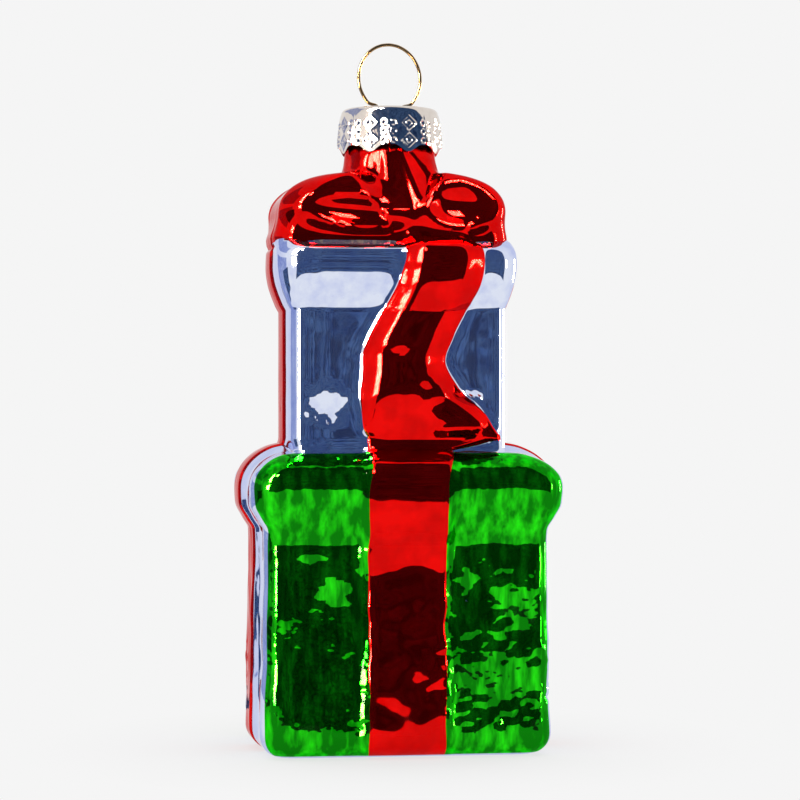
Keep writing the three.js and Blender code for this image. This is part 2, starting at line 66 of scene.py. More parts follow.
# Bow and neck
BOW_WIDTH = 35.8
BOW_DEPTH = 23.6
BOW_CORNER = 4.6
BOW_HEIGHT = 10.8
BOW_SHIFT = -1.5
BOW_SEAT_FILLET = 0.2
NECK_RADIUS = 6.95
NECK_HEIGHT = 10.1
NECK_SHIFT = -0.8
NECK_SEAT_FILLET = 1

# Ribbons
FRONT_RIBBON_WIDTH = 12
FRONT_RIBBON_OFFSET = -0.4
SIDE_RIBBON_WIDTH = 9
RIBBON_RELIEF = 0.8
RIBBON_STEP = 0.7
UPPER_SIDE_SWELL = 0.8
UPPER_LID_SWELL = 1.4

# Glass wall, silvering and lacquer. A coat thins out to its edge, as brushed lacquer does.
GLASS_WALL = 0.9
SILVERING = 0.25
LACQUER = 0.1
LACQUER_EDGE = 0.03
LACQUER_TAPER = 1.0
# Level where the lacquer starts at the foot, and how much of the neck it leaves bare
LACQUER_START = 0.45
LACQUER_STOP = 4
# Thickness of the coats in the solids, over which the cap is sized
SOLID_LACQUER = 0.25

# Crown cap
CAP_CLEARANCE = 0.3
CAP_SHEET = 0.3
CAP_SKIRT = 6.2
CAP_POINT = 1.1
CAP_FLARE = 0.15
CAP_SHOULDER = 0.9
CAP_PETALS = 8
CAP_PETAL_FOLD = 0.5
CAP_TURN = math.radians(-8.3)
CAP_EMBOSS = 0.15
CAP_SLIT = 2.6
LOZENGE_WIDTH = 2.9
LOZENGE_HEIGHT = 2.7
DOT_SPACING = 1.4
DOT_PLACE = 2.4
DOT_RADIUS = 0.4
# Lines of a lozenge and of a dot: where they run, as shares of the lozenge's size, and their half widths
LOZENGE_LINES = [(0.86, 0.2), (0.38, 0.17)]
DOT_LINE = 0.17

# Hanging loop
WIRE_DIAMETER = 0.52
LOOP_RADIUS = 5.45
LOOP_STANDOFF = 0.95
LOOP_TURN = math.radians(17)
LOOP_OPENING = math.radians(42)
HOLE_SPACING = 4.5
LEG_LENGTH = 16
LEG_SPREAD = 8.8
LEG_BEND = 0.4

LOWER_TOP = LOWER_BODY_HEIGHT + LOWER_LID_HEIGHT
UPPER_BODY_TOP = LOWER_TOP + UPPER_BODY_HEIGHT
UPPER_TOP = UPPER_BODY_TOP + UPPER_LID_HEIGHT
BOW_TOP = UPPER_TOP + BOW_HEIGHT
NECK_TOP = BOW_TOP + NECK_HEIGHT
CAP_TOP = NECK_TOP + CAP_CLEARANCE + CAP_SHEET
# A level above the ornament, where tables that run up it end
ABOVE = 120

# Camera and stage
CAMERA_TURN = math.radians(-8)
CAMERA_DISTANCE = 450
CAMERA_HEIGHT = 55.5
CAMERA_LENS = 126
SENSOR = 36
CAMERA_SHIFT = 0.0069
BACKDROP = "#f5f5f5"
FILL_STRENGTH = 1.1
FLOOR_HALF = 2000
CARD_STEPS = 24


def colour(code):
    """An sRGB hex colour as the linear one that Blender's sockets take."""
    channels = [int(code[place:place + 2], 16) / 255 for place in (1, 3, 5)]
    return [c / 12.92 if c <= 0.04045 else ((c + 0.055) / 1.055) ** 2.4 for c in channels] + [1.0]


def add_node(tree, kind, values=None, links=None, **settings):
    """Adds a node with its settings, the values of its inputs, and what its inputs are linked to."""
    node = tree.nodes.new(kind)
    for name, setting in settings.items():
        setattr(node, name, setting)
    for socket, value in (values or {}).items():
        node.inputs[socket].default_value = value
    for socket, source in (links or {}).items():
        tree.links.new(source, node.inputs[socket])
    return node


# The Mix node has a set of sockets for each kind of data, so its colour sockets go by number
MIX_A = 6
MIX_B = 7
MIX_RESULT = 2


def new_material(name):
    material = bpy.data.materials.new(name)
    material.use_nodes = True
    material.node_tree.nodes.clear()
    return material, material.node_tree


def textured(tree):
    return add_node(tree, "ShaderNodeTexCoord").outputs["Object"]


def noise_of(tree, place, size, detail=2.0, stretch=(1, 1, 1)):
    """Noise whose blotches are about the given size in millimetres."""
    scale = [1 / (size * MM * factor) for factor in stretch]
    spread = add_node(tree, "ShaderNodeMapping", values={"Scale": scale}, links={"Vector": place})
    return add_node(tree, "ShaderNodeTexNoise", values={"Scale": 1.0, "Detail": detail},
                    links={"Vector": spread.outputs[0]}).outputs["Fac"]


def between(tree, value, low, high):
    """0 up to the low value, 1 from the high one, and even in between."""
    return add_node(tree, "ShaderNodeMapRange", links={"Value": value},
                    values={"From Min": low, "From Max": high}).outputs["Result"]


def mixed(tree, shades, share):
    """The colour at a share of the way from the first shade to the second."""
    return add_node(tree, "ShaderNodeMix", data_type="RGBA", links={0: share},
                    values={MIX_A: colour(shades[0]), MIX_B: colour(shades[1])}).outputs[MIX_RESULT]


def bumps(tree, place, size, depth, detail):
    """Normals of a surface with bumps, whose size and depth are in millimetres."""
    return add_node(tree, "ShaderNodeBump", values={"Strength": 1.0, "Distance": depth * MM},
                    links={"Height": noise_of(tree, place, size, detail)}).outputs[0]


def show(tree, surface):
    """Makes a shader the surface of its material."""
    add_node(tree, "ShaderNodeOutputMaterial", links={"Surface": surface.outputs[0]})


def on_stage(azimuth, distance, height):
    """A place round the ornament: azimuth 0 is in front of it, and positive is to its right."""
    angle = math.radians(azimuth)
    return Vector((math.sin(angle) * distance, -math.cos(angle) * distance, height)) * MM


def place_camera():
    data = bpy.data.cameras.new("camera")
    data.lens = CAMERA_LENS
    data.sensor_width = SENSOR
    data.shift_x = CAMERA_SHIFT
    camera = bpy.data.objects.new("camera", data)
    camera.location = on_stage(math.degrees(CAMERA_TURN), CAMERA_DISTANCE, CAMERA_HEIGHT)
    camera.rotation_euler = (math.pi / 2, 0, CAMERA_TURN)
    bpy.context.scene.collection.objects.link(camera)
    bpy.context.scene.camera = camera


def seen_directly(tree):
    """1 for rays that show the background itself: camera, mirror and glass rays."""
    path = add_node(tree, "ShaderNodeLightPath")
    shiny = add_node(tree, "ShaderNodeMath", operation="MAXIMUM",
                     links={0: path.outputs["Is Glossy Ray"], 1: path.outputs["Is Transmission Ray"]})
    return add_node(tree, "ShaderNodeMath", operation="MAXIMUM",
                    links={0: path.outputs["Is Camera Ray"], 1: shiny.outputs[0]}).outputs[0]


def light_world():
    world = bpy.data.worlds.new("studio")
    bpy.context.scene.world = world
    world.use_nodes = True
    tree = world.node_tree
    tree.nodes.clear()
    shown = add_node(tree, "ShaderNodeBackground", values={"Color": colour(BACKDROP), "Strength": 1.0})
    fill = add_node(tree, "ShaderNodeBackground",
                    values={"Color": colour(BACKDROP), "Strength": FILL_STRENGTH})
    mix = add_node(tree, "ShaderNodeMixShader",
                   links={0: seen_directly(tree), 1: fill.outputs[0], 2: shown.outputs[0]})
    add_node(tree, "ShaderNodeOutputWorld", links={"Surface": mix.outputs[0]})


# The floor shows as the backdrop's colour. Close to the ornament a part of that comes from its own shading,
# which is what the contact shadow darkens.
FLOOR_SHADING = 0.3
SHADOW_NEAR = 24
SHADOW_FAR = 60


def floor_material():
    material, tree = new_material("painted_floor")
    place = add_node(tree, "ShaderNodeNewGeometry")
    distance = add_node(tree, "ShaderNodeVectorMath", operation="LENGTH",
                        links={0: place.outputs["Position"]})
    near = add_node(tree, "ShaderNodeMapRange", links={"Value": distance.outputs["Value"]},
                    values={"From Min": SHADOW_NEAR * MM, "From Max": SHADOW_FAR * MM,
                            "To Min": FLOOR_SHADING, "To Max": 0.0})
    glow = add_node(tree, "ShaderNodeEmission", values={"Color": colour(BACKDROP), "Strength": 1.0})
    paint = add_node(tree, "ShaderNodeBsdfDiffuse", values={"Color": colour(BACKDROP)})
    shaded = add_node(tree, "ShaderNodeMixShader",
                      links={0: near.outputs["Result"], 1: glow.outputs[0], 2: paint.outputs[0]})
    surface = add_node(tree, "ShaderNodeMixShader",
                       links={0: seen_directly(tree), 1: paint.outputs[0], 2: shaded.outputs[0]})
    show(tree, surface)
    return material


def lay_floor():
    mesh = bpy.data.meshes.new("floor")
    half = FLOOR_HALF * MM
    corners = [(-half, -half, 0), (half, -half, 0), (half, half, 0), (-half, half, 0)]
    mesh.from_pydata(corners, [], [(0, 1, 2, 3)])
    mesh.materials.append(floor_material())
    floor = bpy.data.objects.new("floor", mesh)
    bpy.context.scene.collection.objects.link(floor)


# Size of the painted blotches of light and shade on the reflection cards, and the part of their noise that
# runs from the dark to the light colour
PAINTED_BLOTCH_SIZE = 22
PAINTED_BLOTCH_RANGE = (0.38, 0.62)


def painted_reflection_material(name, shades):
    """A glowing card with painted blotches of light and shade: a painted reflection beside the white stage.
    """
    material, tree = new_material(name)
    painted_blotches = noise_of(tree, textured(tree), size=PAINTED_BLOTCH_SIZE, detail=4.0)
    shade = mixed(tree, shades, between(tree, painted_blotches, *PAINTED_BLOTCH_RANGE))
    # The card glows with its painted shade though it is no lamp, which paints the reflection in the mirror
    show(tree, add_node(tree, "ShaderNodeEmission", links={"Color": shade}, values={"Strength": 1.0}))
    return material


def hang_reflection_card(name, start, end, profile, material):
    """A glowing card, seen only in reflections, round the ornament from one azimuth to another, swept from
    (distance, height) points.
    """
    angles = np.linspace(start, end, CARD_STEPS)
    points = [on_stage(angle, distance, height) for angle in angles for distance, height in profile]
    mesh = bpy.data.meshes.new(name)
    mesh.from_pydata(points, [], grid_faces(len(angles), len(profile)).tolist())
    mesh.materials.append(material)
    card = bpy.data.objects.new(name, mesh)
    bpy.context.scene.collection.objects.link(card)
    card.visible_camera = False
    card.visible_diffuse = False
    card.visible_shadow = False


# Watts per square metre of an area lamp with a radiance of 1
LAMP_ENERGY = 4
# Lamps show only to rays with fewer bounces off matt surfaces than this, which means none
FIRST_BOUNCE = 0.5


def hang_strip_light(name, azimuth, width, low, high, radiance):
    """A tall soft box that shows as a highlight in the glass, and throws no light back onto the floor."""
    data = bpy.data.lights.new(name, "AREA")
    data.shape = "RECTANGLE"
    data.size = width * MM
    data.size_y = (high - low) * MM
    data.energy = LAMP_ENERGY * radiance * data.size * data.size_y
    data.color = colour(STRIP_TINT)[:3]
    data.use_nodes = True
    tree = data.node_tree
    path = add_node(tree, "ShaderNodeLightPath")
    direct = add_node(tree, "ShaderNodeMath", operation="LESS_THAN", values={1: FIRST_BOUNCE},
                      links={0: path.outputs["Diffuse Depth"]})
    tree.links.new(direct.outputs[0], tree.nodes["Emission"].inputs["Strength"])
    lamp = bpy.data.objects.new(name, data)
    lamp.location = on_stage(azimuth, STRIP_DISTANCE, (low + high) / 2)
    lamp.rotation_euler = (math.pi / 2, 0, math.radians(azimuth))
    lamp.visible_diffuse = False
    lamp.visible_camera = False
    bpy.context.scene.collection.objects.link(lamp)


# Each card's azimuth range, its outline as (distance, height) points from the floor up, and the painted
# reflection it glows with
FRONT_PROFILE = [(165, 0.5), (520, 0.5), (520, 900), (40, 1050)]
BACK_PROFILE = [(60, 0.5), (600, 0.5)]
SIDE_PROFILE = [(150, 0.5), (520, 0.5), (520, 126)]
SIDE_PROFILE_ABOVE = [(520, 240), (520, 700)]
CORNER_PROFILE = [(150, 0.8), (515, 0.8)]
CARDS = {
    "front_card": (-50, 62, FRONT_PROFILE, "painted_slate_reflection"),
    "back_card": (201, 206, BACK_PROFILE, "painted_slate_reflection"),
    "side_card": (-150, -84, SIDE_PROFILE, "painted_lavender_reflection"),
    "side_card_above": (-150, -84, SIDE_PROFILE_ABOVE, "painted_lavender_reflection"),
    "corner_card": (-108, -78, CORNER_PROFILE, "painted_slate_reflection"),
}
# Dark and light shade of each painted reflection that the cards glow with
REFLECTION_SHADES = {
    "painted_slate_reflection": ("#15264b", "#456390"),
    "painted_lavender_reflection": ("#8492c4", "#b4bede"),
}
# Each strip light's azimuth, width, lowest and highest level, and radiance. The gap between the two key
# strips keeps them out of the cap. The neck's strip and the bow's hang high, where only slopes that face up
# mirror them.
STRIP_DISTANCE = 450
STRIPS = {
    "key_strip": (-56, 85, 0, 134, 160),
    "key_strip_above": (-56, 85, 215, 900, 160),
    "neck_strip": (-34, 90, 600, 900, 120),
    "bow_strip": (30, 260, 300, 800, 80),
    "far_strip": (120, 60, 0, 130, 60),
    "side_strip": (70, 16, 0, 130, 90),
}
STRIP_TINT = "#ffedd6"


def dress_stage():
    reflection_materials = {name: painted_reflection_material(name, shades) for name, shades in REFLECTION_SHADES.items()}
    for name, (start, end, profile, reflection) in CARDS.items():
        hang_reflection_card(name, start, end, profile, reflection_materials[reflection])
    for name, strip in STRIPS.items():
        hang_strip_light(name, *strip)


def light_bow_alone():
    """The bow's strip shows in the bow only, because it would smear the small pattern of the cap."""
    lit = bpy.data.collections.new("lit_by_bow_strip")
    lit.objects.link(bpy.data.objects["bow_coat"])
    bpy.data.objects["bow_strip"].light_linking.receiver_collection = lit


# Grids of points have rows that run up the ornament and columns that run round it
def grid_faces(rows, columns, closed=False, start=0, flipped=False):
    """Four-sided faces between the points of a grid that are numbered row by row from start."""
    across = columns if closed else columns - 1
    row, column = np.meshgrid(np.arange(rows - 1), np.arange(across), indexing="ij")
    here = start + row * columns + column
    beside = start + row * columns + (column + 1) % columns
    faces = np.stack([here, beside, beside + columns, here + columns], axis=-1).reshape(-1, 4)
    return faces[:, ::-1] if flipped else faces


def smooth_curve(at, knots, values):
    """Values on a smooth curve that runs through those at the knots and never swings past them."""
    values = np.asarray(values, float)
    knots = np.asarray(knots, float)
    gaps = np.diff(knots)[:, None]
    slopes = np.diff(values, axis=0) / gaps
    product = slopes[:-1] * slopes[1:]
    total = np.where(product > 0, slopes[:-1] + slopes[1:], 1)
    inner = np.where(product > 0, 2 * product / total, 0)
    tangents = np.vstack([slopes[:1], inner, slopes[-1:]])
    cell = np.clip(np.searchsorted(knots, at, side="right") - 1, 0, len(knots) - 2)
    t = np.clip((at - knots[cell]) / gaps[cell, 0], 0, 1)[:, None]
    start, end = values[cell], values[cell + 1]
    rise, fall = gaps[cell] * tangents[cell], gaps[cell] * tangents[cell + 1]
    return (start * (1 + 2 * t) * (1 - t) ** 2 + rise * t * (1 - t) ** 2
            + end * t ** 2 * (3 - 2 * t) - fall * t ** 2 * (1 - t))


def blend(start, end, share):
    """The value at a share of the way from start to end."""
    return start + (end - start) * share


def eased(share):
    """A share held between 0 and 1 that leaves both of them gently."""
    share = np.clip(share, 0, 1)
    return share ** 2 * (3 - 2 * share)


# An outline is half width, half depth, corner radius, shift along X, and the swell under the side ribbons
GROWTH = np.array([1, 1, 0.5, 0, 0])
LOWER_BOX = np.array([LOWER_WIDTH / 2, LOWER_DEPTH / 2, LOWER_CORNER, 0, 0])
UPPER_BOX = np.array([UPPER_WIDTH / 2, UPPER_DEPTH / 2, UPPER_CORNER, UPPER_SHIFT, UPPER_SIDE_SWELL])
UPPER_LID = UPPER_BOX + UPPER_OVERHANG * GROWTH
UPPER_LID[2] = UPPER_LID_CORNER
UPPER_LID[4] = UPPER_LID_SWELL
BOW = np.array([BOW_WIDTH / 2, BOW_DEPTH / 2, BOW_CORNER, BOW_SHIFT, 0])
NECK = np.array([NECK_RADIUS, NECK_RADIUS, NECK_RADIUS, NECK_SHIFT, 0])

# Profiles: share of the height with share of the overhang or of the flare
LID_RIM = [(0, 0), (0.15, 0.33), (0.3, 0.64), (0.45, 0.88), (0.62, 1)]
# The lower lid's sides step out later and more sharply than its faces do
LOWER_LID_SIDES = [0, 0.02, 0.5, 0.95, 1]
LID_SHOULDER = 0.62
BOW_SHOULDER = 0.4
BODY_FLARE = [(0.24, 0.75), (0.6, 0.2), (0.91, 0)]
UPPER_BODY_ROWS = [0.1, 0.5, 0.9]
BOW_SIDE_ROW = 0.2
NECK_FOOT = 0.18
ROUND_ANGLES = np.radians(np.arange(15, 91, 15))
ROW_SPACING = 0.5


def crown_rows(wide, following, shoulder, top):
    """The round top of a lid or of the bow, which closes in to what stands on it."""
    return [[blend(shoulder, top, math.sin(angle)), *blend(following, wide, math.cos(angle))]
            for angle in ROUND_ANGLES]


def lid_rows(box, lid, following, bottom, height, sides):
    """A lid from its rim to its top. Its sides step out by their own shares of the overhang."""
    rim = [[bottom + rise * height, *blend(box, lid, reach)] for rise, reach in LID_RIM]
    for row, reach in zip(rim, sides):
        row[1] = blend(box[0], lid[0], reach)
    return rim + crown_rows(lid, following, bottom + LID_SHOULDER * height, bottom + height)


def key_rows():
    """Level and outline of the wall at each of its turns, from the base to the mouth."""
    foot = LOWER_BOX + FOOT_FLARE * GROWTH
    rows = [[BASE_ROUNDING * (1 - math.cos(angle)),
             *(foot + BASE_ROUNDING * (math.sin(angle) - 1) * GROWTH)]
            for angle in (0, *ROUND_ANGLES)]
    rows += [[rise * LOWER_BODY_HEIGHT, *(LOWER_BOX + flare * FOOT_FLARE * GROWTH)]
             for rise, flare in BODY_FLARE]
    lower_lid = LOWER_BOX + LOWER_OVERHANG * GROWTH
    rows += lid_rows(LOWER_BOX, lower_lid, UPPER_BOX + UPPER_SEAT_FILLET * GROWTH, LOWER_BODY_HEIGHT,
                     LOWER_LID_HEIGHT, LOWER_LID_SIDES)
    rows += [[LOWER_TOP + rise * UPPER_BODY_HEIGHT, *UPPER_BOX] for rise in UPPER_BODY_ROWS]
    rows += lid_rows(UPPER_BOX, UPPER_LID, BOW + BOW_SEAT_FILLET * GROWTH, UPPER_BODY_TOP, UPPER_LID_HEIGHT,
                     [reach for rise, reach in LID_RIM])
    rows += [[UPPER_TOP + rise * BOW_HEIGHT, *BOW] for rise in (BOW_SIDE_ROW, BOW_SHOULDER)]
    rows += crown_rows(BOW, NECK + NECK_SEAT_FILLET * GROWTH, UPPER_TOP + BOW_SHOULDER * BOW_HEIGHT,
                       BOW_TOP)
    rows += [[z, *NECK] for z in (BOW_TOP + NECK_FOOT * NECK_HEIGHT, NECK_TOP - LACQUER_STOP, NECK_TOP)]
    return np.array(rows)


def fine_rows(keys):
    """Rows about half a millimetre apart up the wall, with every key row among them."""
    run = np.hypot(np.diff(keys[:, 0]), np.diff(keys[:, 1]))
    place = np.concatenate([[0], np.cumsum(run)])
    counts = np.ceil(run / ROW_SPACING).astype(int)
    cells = [np.linspace(low, high, count, endpoint=False)
             for low, high, count in zip(place, place[1:], counts)]
    return smooth_curve(np.concatenate([*cells, place[-1:]]), place, keys)


# The tail of the front ribbon: share of the upper box's height, then its left and right edges as shares of
# the box's half width
TAIL_EDGES = [
    (0, -0.34, 0.48),
    (0.07, -0.32, 0.97),
    (0.1, -0.35, 0.93),
    (0.2, -0.39, 0.79),
    (0.31, -0.4, 0.55),
    (0.43, -0.39, 0.44),
    (0.55, -0.32, 0.51),
    (0.67, -0.19, 0.64),
    (0.79, -0.06, 0.76),
    (0.9, 0.02, 0.8),
    (1, 0.04, 0.77),
]
# Least distance from the ribbon's edge to the first key beside it
PANEL_MARGIN = 0.6

# Columns between neighbouring keys, from the middle of a side to the middle of the front
HALF_CELLS = [6, 4, 14, 5, 5, 5, 28, 5, 12]
CELLS = HALF_CELLS + HALF_CELLS[::-1]
COLUMN_OF_KEY = np.concatenate([[0], np.cumsum(CELLS)])
# Columns where the side ribbon, the green panel and the front ribbon end
SIDE_EDGE = COLUMN_OF_KEY[2]
GREEN_EDGE = COLUMN_OF_KEY[4]
LEFT_EDGE = COLUMN_OF_KEY[7]
RIGHT_EDGE = COLUMN_OF_KEY[11]
HALF_TURN = COLUMN_OF_KEY[-1]
FULL_TURN = 2 * HALF_TURN

wall_rows = fine_rows(key_rows())
row_z = wall_rows[:, 0]
half_width, half_depth, corner, shift, swell = wall_rows[:, 1:, None].transpose(1, 0, 2)
# Length of the outline from the middle of the front to the middle of a side
reach = half_width + half_depth + (math.pi / 2 - 2) * corner
bow_share = np.clip((row_z[:, None] - UPPER_TOP) / BOW_HEIGHT, 0, 1)


def row_at(level):
    """The row of the wall nearest to a level."""
    return int(np.argmin(np.abs(row_z - level)))


# How far the brushed edges of the front ribbon stray, over what length, and where in the noise each one lies
EDGE_WANDER = 0.3
EDGE_WANDER_SIZE = 3.5
EDGE_PLACES = (0.5, 9.5)


def front_edges():
    """Left and right edges of the front ribbon on each row, measured along the outline from its middle."""
    straight = [FRONT_RIBBON_OFFSET - FRONT_RIBBON_WIDTH / 2, FRONT_RIBBON_OFFSET + FRONT_RIBBON_WIDTH / 2]
    shoulder = LOWER_BODY_HEIGHT + LID_SHOULDER * LOWER_LID_HEIGHT
    levels = [0, shoulder] + [blend(LOWER_TOP, UPPER_TOP, share) for share, left, right in TAIL_EDGES]
    tail = [[left * UPPER_WIDTH / 2, right * UPPER_WIDTH / 2] for share, left, right in TAIL_EDGES]
    wander = [[noise.noise((place, 0, z / EDGE_WANDER_SIZE)) for place in EDGE_PLACES] for z in row_z]
    return smooth_curve(row_z, levels, [straight, straight] + tail) + EDGE_WANDER * np.array(wander)


edges = front_edges()
ribbon_left = edges[:, :1]
ribbon_right = edges[:, 1:]


def corner_keys(ribbon_edge):
    """Distances from beside a ribbon's edge, round the corner, to the middle of the side."""
    side_edge = reach - SIDE_RIBBON_WIDTH / 2
    straight = half_width - corner
    end = np.minimum(straight + math.pi / 2 * corner, side_edge - PANEL_MARGIN)
    start = np.minimum(np.maximum(straight, ribbon_edge + PANEL_MARGIN), end - PANEL_MARGIN)
    turn = blend(start, end, np.linspace(0, 1, 4))
    return np.hstack([turn, side_edge, side_edge + RIBBON_STEP, reach])


def column_distances():
    """How far along the outline each column of the front half lies, from the middle of the front."""
    inside_left, inside_right = ribbon_left + RIBBON_STEP, ribbon_right - RIBBON_STEP
    middle = (inside_left + inside_right) / 2
    ribbon = np.hstack([ribbon_left, inside_left, middle, inside_right, ribbon_right])
    keys = np.hstack([-corner_keys(-ribbon_left)[:, ::-1], ribbon, corner_keys(ribbon_right)])
    fine = [blend(keys[:, [key]], keys[:, [key + 1]], np.arange(count) / count)
            for key, count in enumerate(CELLS)]
    return np.hstack(fine)


def spread_on_bow(distances):
    """On the bow the columns spread out evenly from where the ribbons run in under it."""
    lid_row = np.searchsorted(row_z, UPPER_BODY_TOP + LID_SHOULDER * UPPER_LID_HEIGHT)
    shares = distances[lid_row] / reach[lid_row]
    even = 2 * np.arange(HALF_TURN) / HALF_TURN - 1
    return np.where(row_z[:, None] < UPPER_TOP, distances, reach * blend(shares, even, bow_share))


distance = spread_on_bow(column_distances())


def plain_points():
    """The blown form without its relief. The back is the front turned half round."""
    straight = half_width - corner
    bend = np.clip((np.abs(distance) - straight) / corner, 0, math.pi / 2)
    beyond = np.maximum(0, np.abs(distance) - straight - math.pi / 2 * corner)
    x = np.sign(distance) * (np.minimum(np.abs(distance), straight) + corner * np.sin(bend))
    y = beyond - (half_depth - corner) - corner * np.cos(bend)
    z = np.broadcast_to(row_z[:, None], x.shape)
    front = np.stack([x + shift, y, z], axis=-1)
    back = np.stack([-x + shift, -y, z], axis=-1)
    return np.concatenate([front, back], axis=1)


def grid_normals(points):
    """Outward normals of a grid that is closed round the ornament."""
    along = np.roll(points, -1, axis=1) - np.roll(points, 1, axis=1)
    up = np.gradient(points, axis=0)
    normals = np.cross(along, up)
    return normals / np.linalg.norm(normals, axis=-1, keepdims=True)


def softened(share, softness):
    """A straight rise from 0 to 1 with rounded ends."""
    return 0.5 * (1 + np.sqrt(share ** 2 + softness ** 2) - np.sqrt((share - 1) ** 2 + softness ** 2))


def up_wall(levels, values):
    """A value on each row, as a column that spreads over the row."""
    return smooth_curve(row_z, levels, [[value] for value in values])


# How far the sides bulge under their ribbons: distance from the middle of the side, share of the swell. The
# bulge runs on round the corner at the left of the front, and at the right of the back.
SWELL_KNOTS = [0, 4.5, 7, 9, 11.5, 14, 17, 60]
WIDE_SWELL = [1, 0.98, 0.95, 0.9, 0.72, 0.3, 0.08, 0]
NARROW_SWELL = [1, 0.9, 0.5, 0.15, 0.03, 0, 0, 0]
SIDE_RIBBON_PROUD = 0.18
# Height over which the wide bulge starts on the upper box, and how much of it there is on the right
BULGE_START = 2
RIGHT_BULGE = 0.5

# The front ribbon on the boxes: where its flanks start and end, from the edge of its lacquer, and how far it
# stands out at each level
BOX_FLANK_START = 1.7
BOX_FLANK_END = -0.2
BOX_LEVELS = [0, 8, 24, 28, 34.6, 36.5, 39.4, 42, LOWER_TOP, ABOVE]
BOX_STANDS = [1.1, 1.1, 0.65, 0.7, 1.35, 1.22, 0.66, 0.32, 0.7, 0.8]
# The same for the tail, whose right flank is the wider one. Its levels are shares of the upper box's height.
TAIL_LEFT_START = 0.6
TAIL_LEFT_END = 3.3
TAIL_RIGHT_START = 0.6
TAIL_RIGHT_END = 4.2
TAIL_STANDS = [(0, 0.6), (0.06, 0.9), (0.18, 2.2), (0.32, 3.2), (0.6, 3.4), (0.85, 3.0), (1, 1.4)]
# Share of their width that the tail's flanks keep where it hardly stands out
LEAST_FLANK = 0.35
# How round the flanks of the ribbon are
LEFT_SOFTNESS = 0.24
RIGHT_SOFTNESS = 0.18
# Levels between which the ribbon on the box turns into the tail
TAIL_FOOT = 43
TAIL_TOP = 50


def front_ribbon_relief():
    """How far the front ribbon stands out: a low band on the lower box, and the tail above it."""
    tail = eased((row_z[:, None] - TAIL_FOOT) / (TAIL_TOP - TAIL_FOOT))
    shares, heights = zip(*TAIL_STANDS)
    stands = up_wall([blend(LOWER_TOP, UPPER_TOP, share) for share in shares], heights)
    height = blend(up_wall(BOX_LEVELS, BOX_STANDS), stands, tail)
    kept = blend(LEAST_FLANK, 1, stands / max(heights))
    left_start = blend(BOX_FLANK_START, TAIL_LEFT_START * kept, tail)
    left_end = blend(BOX_FLANK_END, TAIL_LEFT_END * kept, tail)
    right_start = blend(BOX_FLANK_START, TAIL_RIGHT_START * kept, tail)
    right_end = blend(BOX_FLANK_END, TAIL_RIGHT_END * kept, tail)
    rise = softened((distance - ribbon_left + left_start) / (left_start + left_end), LEFT_SOFTNESS)
    fall = softened((ribbon_right + right_start - distance) / (right_start + right_end), RIGHT_SOFTNESS)
    return height * rise * fall


def swell_share(from_side, shares):
    """Share of the swell at a distance from the middle of a side."""
    curve = smooth_curve(from_side.ravel(), SWELL_KNOTS, [[share] for share in shares])
    return curve.reshape(from_side.shape)


def side_relief():
    """The side ribbons and the bulge under them."""
    from_side = reach - np.abs(distance)
    wide = swell_share(from_side, WIDE_SWELL)
    narrow = swell_share(from_side, NARROW_SWELL)
    bulge = swell + RIBBON_RELIEF - SIDE_RIBBON_PROUD
    ribbon = SIDE_RIBBON_PROUD * eased((SIDE_RIBBON_WIDTH / 2 - from_side) / RIBBON_STEP)
    upper = eased((row_z[:, None] - LOWER_TOP) / BULGE_START)
    share = np.where(distance < 0, upper, RIGHT_BULGE * upper)
    return ribbon + bulge * blend(narrow, wide, share)


# The lids' faces lean out a little more than their sides, and the panels of the lower box lie a little back
# from its foot
UPPER_LID_LEVELS = [0, UPPER_BODY_TOP, 75.8, 77.6, 78.5, UPPER_TOP, ABOVE]
UPPER_LID_LEAN = [0, 0, 1.0, 1.25, 1.15, -0.7, 0]
LOWER_LID_LEVELS = [0, 33.8, 38, 42.8, LOWER_TOP, ABOVE]
LOWER_LID_LEAN = [0, 0, 0.15, 0.6, 0, 0]
PANEL_LEVELS = [0, 3.2, 11, 22, LOWER_BODY_HEIGHT, LOWER_TOP, ABOVE]
PANEL_SINKS = [0, 0, 0.3, 0.6, 0.6, 0, 0]
# The ribbon sinks less than the panels beside it, and changes over this far either side of its edge
RIBBON_SINK_SHARE = 0.12
SINK_CHANGE = 1
# A panel's sink ends round its corner: how far before the corner that starts, and over what distance
PANEL_END = 1
PANEL_END_RUN = 3.6
# The lids lean out less and less round their corners: over this many times the corner's radius
LEAN_RUN_OUT = 1.9


def face_relief():
    """The lean of the lids' faces and the sink of the lower box's panels."""
    lids = up_wall(UPPER_LID_LEVELS, UPPER_LID_LEAN) + up_wall(LOWER_LID_LEVELS, LOWER_LID_LEAN)
    past_left = eased((distance - ribbon_left + SINK_CHANGE) / (2 * SINK_CHANGE))
    before_right = eased((ribbon_right + SINK_CHANGE - distance) / (2 * SINK_CHANGE))
    sink = up_wall(PANEL_LEVELS, PANEL_SINKS) * blend(1, RIBBON_SINK_SHARE, past_left * before_right)
    beyond = np.abs(distance) - (half_width - corner)
    on_face = 1 - eased((beyond + PANEL_END) / PANEL_END_RUN)
    return lids * (1 - eased(beyond / LEAN_RUN_OUT / corner)) - sink * on_face


